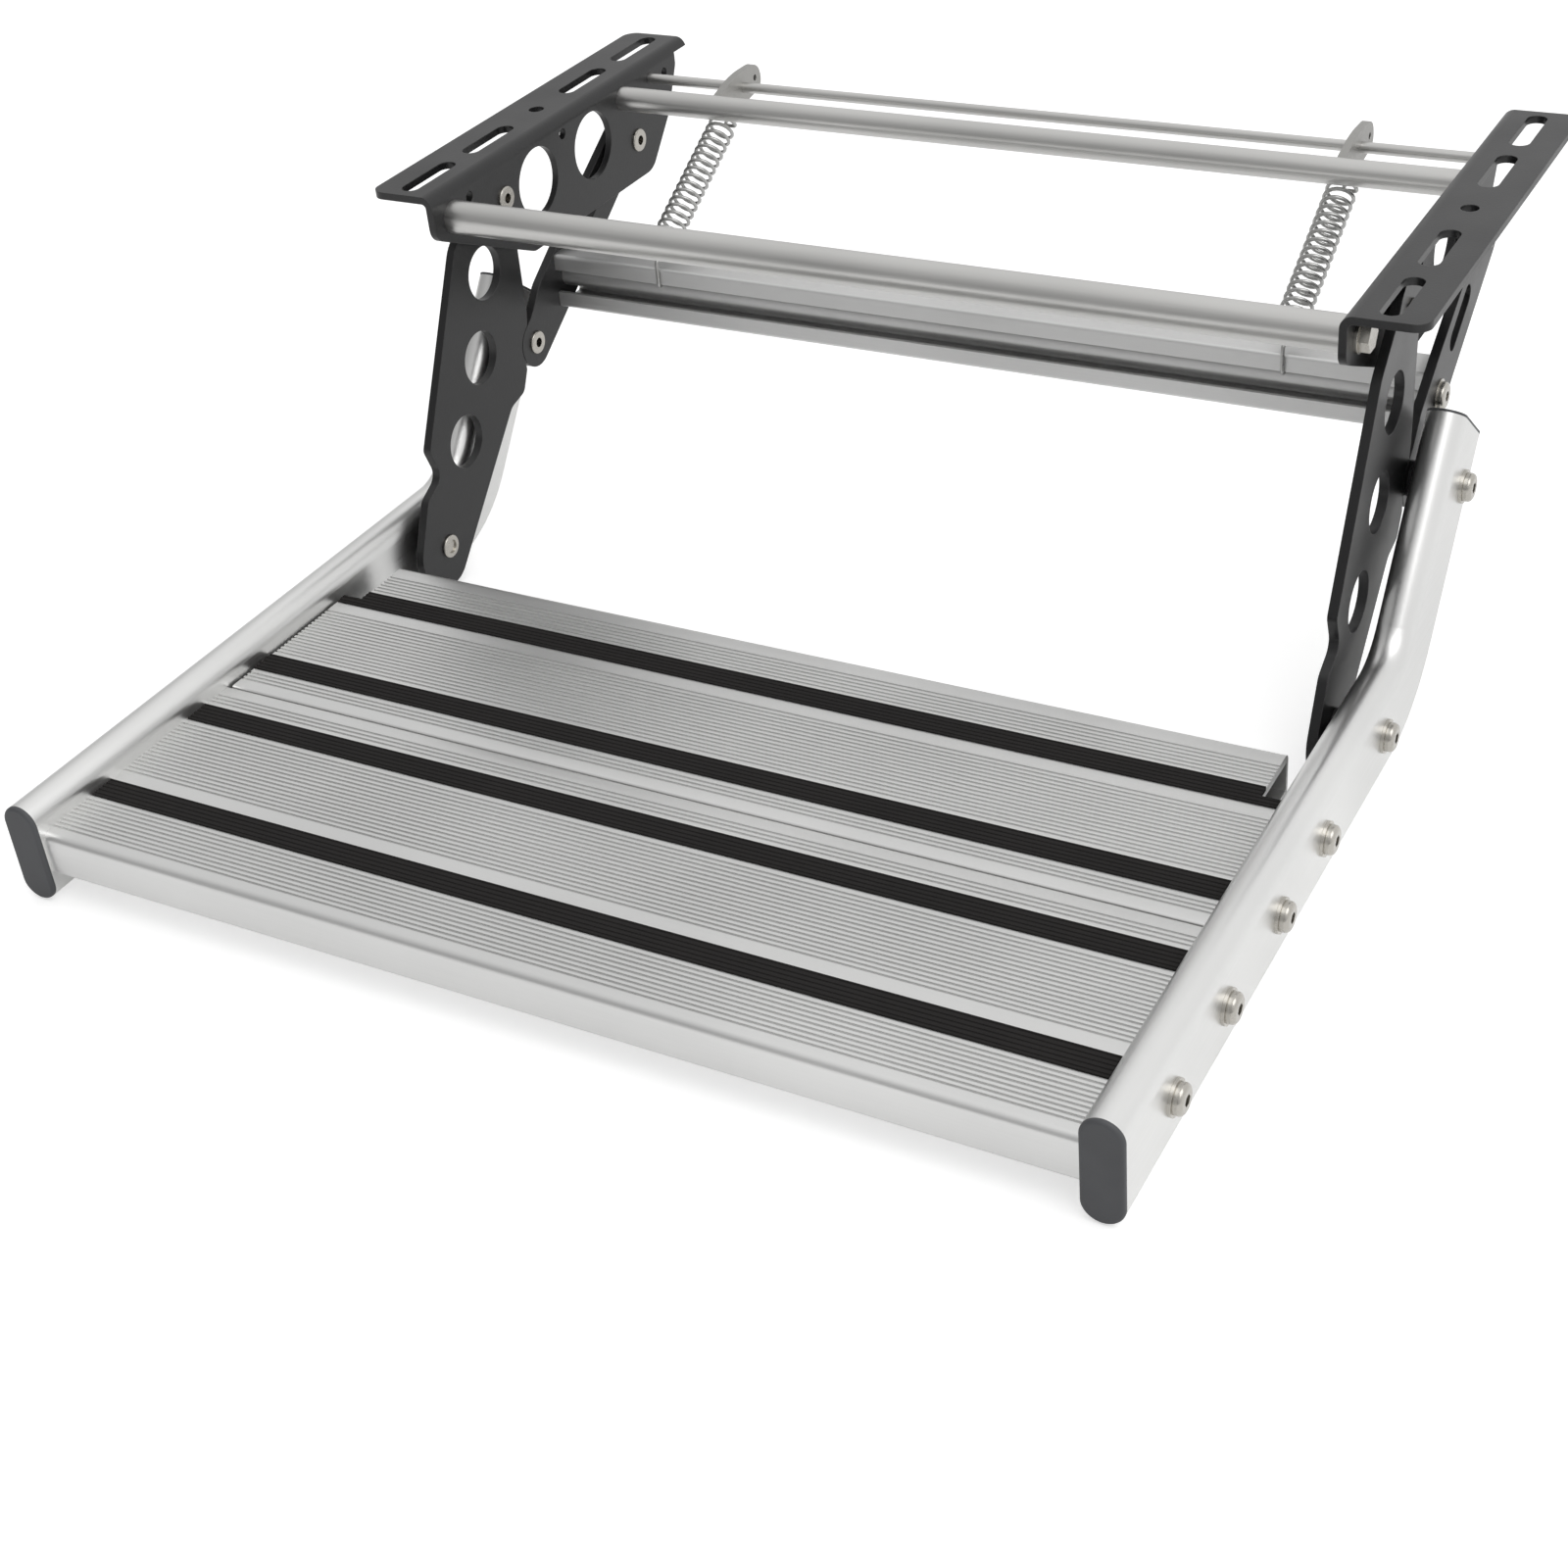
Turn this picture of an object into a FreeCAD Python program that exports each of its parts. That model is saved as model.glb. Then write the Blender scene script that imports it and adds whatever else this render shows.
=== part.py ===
import FreeCAD, Part
import math
import os
from FreeCAD import Vector

# overall sizes, X across the step, Y to the rear, Z up, origin on the mounting plane
overall_width = 580.0
step_front_y = -490.0
step_underside_z = -228.0

# side rails: flat-oval tube, bent up into a short arm at the rear
rail_width = 19.5
rail_height = 54.0
rail_wall = 2.2
rail_outer_x = overall_width / 2
rail_inner_x = rail_outer_x - rail_width
rail_mid_x = rail_outer_x - rail_width / 2
rail_mid_z = step_underside_z + rail_height / 2
rail_corner_y = -119.8
rail_bend_radius = 55.0
arm_angle = 52.0
arm_length = 133.8
cap_thickness = 2.5
cap_depth = 12.0

# linkage pivots (y, z)
front_pivot = (-69.3, -25.1)
rear_pivot = (71.4, -42.1)
step_pivot = (-161.7, rail_mid_z)
elbow_pivot = (-49.0, -123.0)

# layers across one side, from the rail inwards
link_to_rail = 6.0
link_plate = 5.0
bracket_to_link = 5.0
bracket_plate = 4.0
link_outer_x = rail_inner_x - link_to_rail
link_inner_x = link_outer_x - link_plate
bracket_outer_x = link_inner_x - bracket_to_link
bracket_inner_x = bracket_outer_x - bracket_plate
face_gap = 0.2
open_pivot_gap = 0.4

# hanging bracket
flange_reach = 36.5
flange_outer_x = bracket_outer_x + flange_reach
web_depth = 65.0
flange_length = 272.0
flange_corner = 8.0
bend_inner_radius = 2.5
slot_length = 44.0
slot_width = 10.5
centre_hole_radius = 4.5
slot_line_x = bracket_outer_x + 16.5
inner_slot_y = 50.0
outer_slot_y = 108.0
web_window_radius = 19.7
web_windows = ((-35.7, -28.0), (23.1, -28.0))
web_small_radius = 3.2
web_small_holes = ((-101.6, -12.0), (-6.3, -10.5), (108.0, -13.0))

# cross tubes of the hanging frame
front_tube_at = (-118.0, -17.0)
front_tube_radius = 9.0
front_tube_wall = 2.0
rear_tube_at = (60.0, -12.5)
rear_tube_radius = 7.0
rear_tube_wall = 1.5
thin_rod_at = (92.0, -11.0)
thin_rod_radius = 3.0
plug_length = 16.0

# fasteners
bolt_radius = 4.0
shoulder_radius = 5.0
running_clearance = 0.05
hole_clearance = 0.3
washer_thickness = 1.6
washer_radius = 8.5
rivet_flange_radius = 6.8
rivet_flange_height = 1.6
rivet_bore = 2.8
button_radius = 7.2
button_height = 4.2
thin_head_height = 3.6
socket_flats = 5.0
nut_flats = 13.0
nut_height = 5.2
bush_radius = 9.0

# tread: two hollow planks between the rails
plank_height = 33.7
plank_lift = 5.0
tread_nose_gap = 6.3
plank_depth = 137.6
seam_gap = 0.9
nose_radius = 8.0
heel_radius = 1.5
plank_wall = 2.2
plank_roof = 4.4
tread_bolt_at = (43.7, 104.7)
mid_web_at = 74.0
port_radius = 6.6
port_depth = 24.0
plank_to_link = 2.0
plank_to_rail = 1.5
rear_plank_half = rail_inner_x - plank_to_rail
link_relief_x = link_inner_x - plank_to_link
link_relief_length = 39.2
groove_pitch = 3.0
groove_width = 1.4
groove_depth = 0.8
groove_starts = (12.0, 54.7, 122.2)
groove_counts = (6, 16, 3)
strip_width = 14.2
strip_starts = (31.3, 104.6)
strip_recess = 1.6
strip_height = 2.4
strip_fit = 0.15
strip_groove = 1.2

# front link, along the line from its top pivot to the step pivot
link_windows = ((42.5, 1.5), (90.0, 8.0), (138.0, 4.0))
link_window_radius = 15.5
elbow_seat_radius = 15.2
elbow_seat_run = (1.3, -7.5)
front_link_corners = (
    (-20, -19.5, 19), (6, -20, 30), (34, -30, 20), (146, -30, 5), (159, -15.5, 8), (174, -26, 8), (222, -24, 20),
    (222, 15, 16), (116.5, 46, 10), (107, 57, 6), (91, 57, 2), (60, 48.5, 4), (4, 20, 10), (-20, 20, 19.5),
)

# rear link, along the line from the elbow to its top pivot
rear_link_corners = (
    (-14.4, -14.4, 14.2), (-14.4, 14.4, 14.2), (8, 14.4, 20), (26, 20, 20), (58, 20, 30),
    (161, 16, 15.8), (161, -16, 15.8), (60, -15.5, 0),
)
rear_slot_at = (91.0, 5.0)
rear_slot_length = 38.0
rear_slot_width = 12.0

# cross member between the rear links: lipped channel open to the front
channel_front_y = -20.0
channel_depth = 24.0
channel_top_z = -80.0
channel_height = 33.0
channel_lip = 9.5
channel_wall = 2.4
channel_port_radius = 6.4
channel_bolt_at = (-8.0, -96.5)
channel_bolt_length = 24.0

# tension springs
spring_x = bracket_inner_x - 63.5
tab_plate = 4.5
tab_base_radius = 11.0
tab_tip_radius = 8.5
spring_top = (76.0, -16.5)
spring_knee_z = -75.5
spring_wire = 2.2
spring_fit = 0.1
spring_radius = 7.0
spring_turns = 17
spring_top_space = 24.0
spring_low_space = 12.0
hook_radius = 4.2

# web outline below the flange (y, z, corner radius)
flange_end_y = flange_length / 2
web_corners = (
    (-flange_end_y, 1, 0), (-flange_end_y, -24, 9), (-49, -web_depth, 12), (84, -web_depth, 14), (109, -38, 10),
    (122, -12, 6), (122, -5, 0), (flange_end_y, -5, 0), (flange_end_y, 1, 0),
)

out_dir = "parts"


def rounded_wire(corners, closed):
    """Wire through corners (point, radius), each inner corner rounded by its own radius."""
    count = len(corners)
    joints = []
    for i, (here, radius) in enumerate(corners):
        if radius == 0:
            joints.append((here, None, here))
            continue
        before = corners[i - 1][0] - here
        after = corners[(i + 1) % count][0] - here
        before.normalize()
        after.normalize()
        half = before.getAngle(after) / 2
        bisector = before + after
        bisector.normalize()
        reach = radius / math.tan(half)
        middle = here + bisector * (radius / math.sin(half) - radius)
        joints.append((here + before * reach, middle, here + after * reach))
    edges = []
    for i, (start, middle, stop) in enumerate(joints):
        if middle is not None:
            edges.append(Part.Arc(start, middle, stop).toShape())
        following = joints[(i + 1) % count][0]
        if (closed or i < count - 1) and stop.distanceToPoint(following) > 1e-6:
            edges.append(Part.makeLine(stop, following))
    return Part.Wire(edges)


def closed_outline(corners):
    """Closed wire in the YZ plane through corners (y, z, radius)."""
    return rounded_wire([(Vector(0, y, z), radius) for y, z, radius in corners], True)


def slab(corners, x_from, x_to):
    """Solid of a rounded outline between two X planes."""
    face = Part.Face(closed_outline(corners))
    face.translate(Vector(x_from, 0, 0))
    return face.extrude(Vector(x_to - x_from, 0, 0))


def round_bar(at, radius, x_from, x_to):
    """Cylinder along X at (y, z)."""
    return Part.makeCylinder(radius, x_to - x_from, Vector(x_from, at[0], at[1]), Vector(1, 0, 0))


def tube_bar(at, outer, inner, x_from, x_to):
    """Hollow cylinder along X at (y, z)."""
    return round_bar(at, outer, x_from, x_to).cut(round_bar(at, inner, x_from - 1, x_to + 1))


def hex_bar(at, flats, x_from, x_to):
    """Hexagonal prism along X at (y, z)."""
    corner = flats / math.sqrt(3)
    points = []
    for i in range(6):
        angle = math.radians(60 * i)
        points.append((at[0] + corner * math.cos(angle), at[1] + corner * math.sin(angle), 0))
    return slab(points, x_from, x_to)


def slot_bar(at, length, width, direction, x_from, x_to):
    """Round-ended slot solid along X, its long way along an angle in the YZ plane."""
    half = (length - width) / 2
    along = (math.cos(direction), math.sin(direction))
    ends = [(at[0] + s * half * along[0], at[1] + s * half * along[1]) for s in (-1, 1)]
    side = (-along[1] * width / 2, along[0] * width / 2)
    box = [
        (ends[0][0] - side[0], ends[0][1] - side[1], 0), (ends[1][0] - side[0], ends[1][1] - side[1], 0),
        (ends[1][0] + side[0], ends[1][1] + side[1], 0), (ends[0][0] + side[0], ends[0][1] + side[1], 0),
    ]
    body = slab(box, x_from, x_to)
    for end in ends:
        body = body.fuse(round_bar(end, width / 2, x_from, x_to))
    return body.removeSplitter()


def mirrored(shape):
    """The same shape on the left side."""
    return shape.mirror(Vector(0, 0, 0), Vector(1, 0, 0))


def both_sides(shapes):
    """Right-side shapes together with their left-side twins."""
    return list(shapes) + [mirrored(shape) for shape in shapes]


def local_points(corners, origin, target):
    """Corners given along and across the line origin-target, turned into (y, z, radius)."""
    length = math.hypot(target[0] - origin[0], target[1] - origin[1])
    along = ((target[0] - origin[0]) / length, (target[1] - origin[1]) / length)
    across = (-along[1], along[0])
    points = []
    for corner in corners:
        y = origin[0] + corner[0] * along[0] + corner[1] * across[0]
        z = origin[1] + corner[0] * along[1] + corner[1] * across[1]
        points.append((y, z) + tuple(corner[2:]))
    return points


def button_bolt(at, face_x, tip_x, shaft_radius, head_height):
    """Button-head bolt entering from the outside, its head resting on face_x."""
    head = round_bar(at, button_radius, face_x, face_x + head_height)
    rim = [edge for edge in head.Edges if abs(edge.CenterOfMass.x - face_x - head_height) < 1e-6]
    head = head.makeFillet(head_height * 0.55, rim)
    head = head.cut(hex_bar(at, socket_flats, face_x + head_height * 0.4, face_x + head_height + 1))
    return head.fuse(round_bar(at, shaft_radius, tip_x, face_x))


def washer(at, radius, hole, x_from):
    """Flat washer along X."""
    return tube_bar(at, radius, hole, x_from, x_from + washer_thickness)


def rail_section(inset):
    """Flat-oval face across the rail at its front end."""
    radius = rail_width / 2 - inset
    half = rail_height / 2 - rail_width / 2
    low = Vector(rail_mid_x, step_front_y, rail_mid_z - half)
    high = Vector(rail_mid_x, step_front_y, rail_mid_z + half)
    side = Vector(radius, 0, 0)
    drop = Vector(0, 0, radius)
    edges = [
        Part.makeLine(low + side, high + side),
        Part.Arc(high + side, high + drop, high - side).toShape(),
        Part.makeLine(high - side, low - side),
        Part.Arc(low - side, low - drop, low + side).toShape(),
    ]
    return Part.Face(Part.Wire(edges))


bend_reach = rail_bend_radius * math.tan(math.radians(arm_angle / 2))
bend_start_y = rail_corner_y - bend_reach
arm_direction = Vector(0, math.cos(math.radians(arm_angle)), math.sin(math.radians(arm_angle)))


def rail_run(face):
    """Sweep a face along the rail: straight, bend and arm."""
    straight = face.extrude(Vector(0, bend_start_y - step_front_y, 0))
    face = face.translated(Vector(0, bend_start_y - step_front_y, 0))
    centre = Vector(0, bend_start_y, rail_mid_z + rail_bend_radius)
    bend = face.revolve(centre, Vector(1, 0, 0), arm_angle)
    face = face.rotated(centre, Vector(1, 0, 0), arm_angle)
    arm = face.extrude(arm_direction * (arm_length - bend_reach))
    return straight.fuse([bend, arm]).removeSplitter()


def tread_bolt_points():
    """(y, z) of the four tread bolts of one side, front to rear."""
    front = [tread_nose_gap + at for at in tread_bolt_at]
    rear_edge = tread_nose_gap + 2 * plank_depth + seam_gap
    rear = [rear_edge - at for at in reversed(tread_bolt_at)]
    return [(step_front_y + y, rail_mid_z) for y in front + rear]


def rail():
    """Right rail with its bolt holes."""
    body = rail_run(rail_section(0).cut(rail_section(rail_wall)))
    for at in tread_bolt_points() + [step_pivot, elbow_pivot]:
        body = body.cut(round_bar(at, bolt_radius + hole_clearance, rail_inner_x - 1, rail_outer_x + 1))
    return body


def front_cap():
    """Plug in the rail's front end with a rounded face plate."""
    plate = rail_section(0).extrude(Vector(0, -cap_thickness, 0))
    rim = [edge for edge in plate.Edges if abs(edge.CenterOfMass.y - step_front_y + cap_thickness) < 1e-6]
    plate = plate.makeFillet(cap_thickness * 0.7, rim)
    skirt = rail_section(rail_wall).cut(rail_section(rail_wall * 2)).extrude(Vector(0, cap_depth, 0))
    return plate.fuse(skirt).removeSplitter()


def arm_cap():
    """Thin plug in the arm's square upper end."""
    plate = rail_section(0).extrude(Vector(0, -cap_thickness / 2, 0))
    skirt = rail_section(rail_wall).cut(rail_section(rail_wall * 2)).extrude(Vector(0, cap_depth, 0))
    cap = plate.fuse(skirt).removeSplitter()
    cap.rotate(Vector(0, step_front_y, rail_mid_z), Vector(1, 0, 0), 180 + arm_angle)
    end = Vector(0, rail_corner_y, rail_mid_z) + arm_direction * arm_length
    cap.translate(end - Vector(0, step_front_y, rail_mid_z))
    return cap


def plank_section():
    """Section of the front plank, y counted from its nose and z from its underside."""
    outer = slab((
        (0, 0, nose_radius / 2), (0, plank_height, nose_radius),
        (plank_depth, plank_height, heel_radius), (plank_depth, 0, heel_radius),
    ), 0, 1)
    webs = [plank_wall / 2] + [tread_bolt_at[0], mid_web_at, tread_bolt_at[1]] + [plank_depth - plank_wall / 2]
    chambers = []
    for left, right in zip(webs, webs[1:]):
        y_from = left + plank_wall / 2
        y_to = right - plank_wall / 2
        chambers.append(slab((
            (y_from, plank_wall, 2), (y_from, plank_height - plank_roof, 2),
            (y_to, plank_height - plank_roof, 2), (y_to, plank_wall, 2),
        ), -1, 2))
    body = outer.cut(chambers)
    port_z = rail_height / 2 - plank_lift
    for y in tread_bolt_at:
        body = body.fuse(round_bar((y, port_z), port_radius, 0, 1))
    cuts = [round_bar((y, port_z), bolt_radius, -1, 2) for y in tread_bolt_at]
    for start, count in zip(groove_starts, groove_counts):
        for i in range(count):
            y = start + i * groove_pitch
            cuts.append(Part.makeBox(3, groove_width, 2, Vector(-1, y, plank_height - groove_depth)))
    for start in strip_starts:
        cuts.append(Part.makeBox(3, strip_width + 2 * strip_fit, 3,
                                 Vector(-1, start - strip_fit, plank_height - strip_recess)))
    body = body.cut(cuts).removeSplitter()
    return [face for face in body.Faces if abs(face.CenterOfMass.x) < 1e-6 and face.normalAt(0, 0).x < -0.5][0]


def place_plank(section, half_length):
    """Extrude a plank-frame section over the width of the tread, under the front plank's place."""
    body = section.extrude(Vector(2 * half_length, 0, 0))
    body.translate(Vector(-half_length, step_front_y + tread_nose_gap, step_underside_z + plank_lift))
    return body


def link_relief():
    """Room at both rear corners of the rear plank, where the folded front links lie."""
    rear_y = step_front_y + tread_nose_gap + 2 * plank_depth + seam_gap
    size = (rail_inner_x - link_relief_x + 1, link_relief_length + 1, plank_height + 2 * strip_height)
    box = Part.makeBox(*size, Vector(link_relief_x, rear_y - link_relief_length, step_underside_z + plank_lift - 1))
    return [box, mirrored(box)]


def to_rear_plank(shape):
    """The front plank's shape turned round the seam into the rear plank's place."""
    seam_y = step_front_y + tread_nose_gap + plank_depth + seam_gap / 2
    return shape.mirror(Vector(0, seam_y, 0), Vector(0, 1, 0))


def grip_strip(start, half_length):
    """Grip strip lying in its recess, with fine grooves along it."""
    box = Part.makeBox(1, strip_width, strip_height, Vector(0, start, plank_height - strip_recess))
    count = int(strip_width / (2 * strip_groove))
    cuts = []
    for i in range(count):
        y = start + strip_width * (i + 0.5) / count - strip_groove / 2
        cuts.append(Part.makeBox(3, strip_groove, 1, Vector(-1, y, plank_height - strip_recess + strip_height - 0.4)))
    body = box.cut(cuts)
    face = [f for f in body.Faces if abs(f.CenterOfMass.x) < 1e-6][0]
    return place_plank(face, half_length)


def tread_fasteners():
    """Bolts, washers and slot spacers of the tread on both sides."""
    bolts = []
    washers = []
    spacers = []
    for i, at in enumerate(tread_bolt_points()):
        tip_x = rail_inner_x - port_depth if i < 2 else rear_plank_half - port_depth
        face_x = rail_outer_x + washer_thickness
        bolts.append(button_bolt(at, face_x, tip_x, bolt_radius, button_height))
        washers.append(washer(at, washer_radius, bolt_radius, rail_outer_x))
        if i > 1:
            spacers.append(tube_bar(at, port_radius, bolt_radius, rear_plank_half, rail_inner_x))
    return both_sides(bolts), both_sides(washers), both_sides(spacers)


def bracket():
    """Right hanging bracket: web and outward flange folded from one plate."""
    outer_radius = bend_inner_radius + bracket_plate
    x0, x1, x2 = bracket_inner_x, bracket_outer_x, flange_outer_x
    y0 = -flange_length / 2
    points = [
        Vector(x0, y0, -web_depth - 5), Vector(x0, y0, -outer_radius),
        Vector(x0 + outer_radius * (1 - math.sqrt(0.5)), y0, -outer_radius * (1 - math.sqrt(0.5))),
        Vector(x0 + outer_radius, y0, 0), Vector(x2, y0, 0), Vector(x2, y0, -bracket_plate),
        Vector(x1 + bend_inner_radius, y0, -bracket_plate),
        Vector(x1 + bend_inner_radius * (1 - math.sqrt(0.5)), y0,
               -bracket_plate - bend_inner_radius * (1 - math.sqrt(0.5))),
        Vector(x1, y0, -bracket_plate - bend_inner_radius), Vector(x1, y0, -web_depth - 5),
    ]
    edges = [
        Part.makeLine(points[0], points[1]), Part.Arc(points[1], points[2], points[3]).toShape(),
        Part.makeLine(points[3], points[4]), Part.makeLine(points[4], points[5]),
        Part.makeLine(points[5], points[6]), Part.Arc(points[6], points[7], points[8]).toShape(),
        Part.makeLine(points[8], points[9]), Part.makeLine(points[9], points[0]),
    ]
    body = Part.Face(Part.Wire(edges)).extrude(Vector(0, flange_length, 0))
    body = body.common(slab(web_corners, x0 - 1, x2 + 1))
    depth = web_depth + 10
    trim = Part.makeBox(x2 - x0 + 20, flange_length, depth, Vector(x0 - 20, y0, -depth + 5))
    corners = [edge for edge in trim.Edges
               if abs(edge.CenterOfMass.x - x2) < 1e-6 and abs(edge.CenterOfMass.z - 5 + depth / 2) < 1e-6]
    body = body.common(trim.makeFillet(flange_corner, corners))
    cuts = [round_bar(at, web_window_radius, x0 - 1, x1 + 1) for at in web_windows]
    cuts += [round_bar(at, web_small_radius, x0 - 1, x1 + 1) for at in web_small_holes]
    cuts += [round_bar(at, shoulder_radius, x0 - 1, x1 + 1) for at in (front_pivot, rear_pivot)]
    cuts.append(round_bar(front_tube_at, bolt_radius, x0 - 1, x1 + 1))
    cuts.append(round_bar(thin_rod_at, thin_rod_radius, x0 - 1, x1 + 1))
    cuts.append(Part.makeCylinder(centre_hole_radius, 10, Vector(slot_line_x, 0, -8)))
    for y in (-outer_slot_y, -inner_slot_y, inner_slot_y, outer_slot_y):
        cuts.append(flange_slot(y))
    return body.cut(cuts).removeSplitter()


def flange_slot(y):
    """Round-ended slot along Y through the flange."""
    half = (slot_length - slot_width) / 2
    body = Part.makeBox(slot_width, 2 * half, 10, Vector(slot_line_x - slot_width / 2, y - half, -8))
    for end in (-half, half):
        body = body.fuse(Part.makeCylinder(slot_width / 2, 10, Vector(slot_line_x, y + end, -8)))
    return body.removeSplitter()


def front_link():
    """Right front link with its three windows and the seat of the elbow's round end."""
    body = slab(local_points(front_link_corners, front_pivot, step_pivot), link_inner_x, link_outer_x)
    cuts = [round_bar(at, link_window_radius, link_inner_x - 1, link_outer_x + 1)
            for at in local_points(link_windows, front_pivot, step_pivot)]
    exit_at = (elbow_pivot[0] + elbow_seat_run[0], elbow_pivot[1] + elbow_seat_run[1])
    for at in (elbow_pivot, exit_at):
        cuts.append(round_bar(at, elbow_seat_radius, link_inner_x - 1, link_outer_x + 1))
    for at in (front_pivot, step_pivot):
        cuts.append(round_bar(at, shoulder_radius + running_clearance, link_inner_x - 1, link_outer_x + 1))
    return body.cut(cuts)


def rear_link():
    """Right rear link with its slot, cross-member hole and pivot holes."""
    body = slab(local_points(rear_link_corners, elbow_pivot, rear_pivot), link_inner_x, link_outer_x)
    slot_at = local_points((rear_slot_at,), elbow_pivot, rear_pivot)[0]
    direction = math.atan2(rear_pivot[1] - elbow_pivot[1], rear_pivot[0] - elbow_pivot[0])
    cuts = [
        slot_bar(slot_at, rear_slot_length, rear_slot_width, direction, link_inner_x - 1, link_outer_x + 1),
        round_bar(rear_pivot, shoulder_radius + running_clearance, link_inner_x - 1, link_outer_x + 1),
        round_bar(elbow_pivot, shoulder_radius, link_inner_x - 1, link_outer_x + 1),
        round_bar(channel_bolt_at, bolt_radius, link_inner_x - 1, link_outer_x + 1),
    ]
    return body.cut(cuts)


def rivet_flange(at, bore, x_from):
    """Thin round flange of a hollow rivet or sleeve nut."""
    flange = tube_bar(at, rivet_flange_radius, bore, x_from, x_from + rivet_flange_height)
    rim = [edge for edge in flange.Edges
           if abs(edge.CenterOfMass.x - x_from) < 1e-6 and edge.BoundBox.YLength > 2 * bore + 1]
    return flange.makeFillet(rivet_flange_height * 0.6, rim)


def hanger_pivots():
    """Hollow rivets and spacers of the two hanging pivots, both sides."""
    rivets = []
    spacers = []
    for at in (front_pivot, rear_pivot):
        inner_x = bracket_inner_x - rivet_flange_height
        outer_x = link_outer_x + face_gap
        rivet = tube_bar(at, shoulder_radius, rivet_bore, bracket_inner_x, outer_x)
        outer_flange = tube_bar(at, rivet_flange_radius, rivet_bore, outer_x, outer_x + rivet_flange_height)
        rivets.append(rivet.fuse([rivet_flange(at, rivet_bore, inner_x), outer_flange]).removeSplitter())
        spacers.append(tube_bar(at, bush_radius, shoulder_radius, bracket_outer_x, link_inner_x - face_gap))
    return both_sides(rivets), both_sides(spacers)


def step_pivots():
    """Bolts, sleeve nuts, spacers and washers that join the rails to the front links."""
    flange_x = link_inner_x - face_gap - rivet_flange_height
    bolt = button_bolt(step_pivot, rail_outer_x + washer_thickness, flange_x + 1, bolt_radius, button_height)
    sleeve = tube_bar(step_pivot, shoulder_radius, bolt_radius, flange_x + rivet_flange_height, rail_inner_x)
    sleeve = sleeve.fuse(rivet_flange(step_pivot, bolt_radius, flange_x)).removeSplitter()
    spacer = tube_bar(step_pivot, bush_radius, shoulder_radius, link_outer_x + face_gap, rail_inner_x)
    outer = washer(step_pivot, washer_radius, bolt_radius, rail_outer_x)
    return [both_sides([shape]) for shape in (bolt, sleeve, spacer, outer)]


def elbow_halves():
    """Rail half and link half of the elbow fastener, parted at the rail's inner face."""
    bolt = button_bolt(elbow_pivot, rail_outer_x + washer_thickness, rail_inner_x, bolt_radius, button_height)
    outer = washer(elbow_pivot, washer_radius, bolt_radius, rail_outer_x)
    part_x = rail_inner_x - open_pivot_gap
    rivet = tube_bar(elbow_pivot, shoulder_radius, rivet_bore, link_inner_x, part_x)
    rivet = rivet.fuse(rivet_flange(elbow_pivot, rivet_bore, link_inner_x - rivet_flange_height)).removeSplitter()
    bush = tube_bar(elbow_pivot, bush_radius, shoulder_radius, link_outer_x, part_x)
    return [both_sides([shape]) for shape in (bolt, outer, rivet, bush)]


def tube_plug():
    """Threaded plug in the front tube's right end."""
    inner = front_tube_radius - front_tube_wall
    return tube_bar(front_tube_at, inner, bolt_radius, bracket_inner_x - plug_length, bracket_inner_x)


def tube_bolt():
    """Hexagon bolt and washer that hold the front tube to the bracket."""
    ring = washer(front_tube_at, washer_radius, bolt_radius, bracket_outer_x)
    face_x = bracket_outer_x + washer_thickness
    bolt = hex_bar(front_tube_at, nut_flats, face_x, face_x + nut_height)
    return bolt.fuse(round_bar(front_tube_at, bolt_radius, bracket_inner_x - plug_length, face_x)), ring


def spring_tab():
    """Right spring tab: plate welded on the rear tube, its tip on the thin rod."""
    x0 = spring_x - tab_plate / 2
    x1 = spring_x + tab_plate / 2
    base, tip = rear_tube_at, thin_rod_at
    length = math.hypot(tip[0] - base[0], tip[1] - base[1])
    lean = math.atan2(tip[1] - base[1], tip[0] - base[0])
    turn = math.acos((tab_base_radius - tab_tip_radius) / length)
    body = round_bar(base, tab_base_radius, x0, x1).fuse(round_bar(tip, tab_tip_radius, x0, x1))
    corners = []
    for at, radius, sign in ((base, tab_base_radius, 1), (tip, tab_tip_radius, 1),
                             (tip, tab_tip_radius, -1), (base, tab_base_radius, -1)):
        angle = lean + sign * turn
        corners.append((at[0] + radius * math.cos(angle), at[1] + radius * math.sin(angle), 0))
    body = body.fuse(slab(corners, x0, x1))
    cuts = [round_bar(base, rear_tube_radius, x0 - 1, x1 + 1), round_bar(tip, thin_rod_radius, x0 - 1, x1 + 1),
            round_bar(spring_top, spring_wire, x0 - 1, x1 + 1)]
    return body.removeSplitter().cut(cuts)


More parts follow.
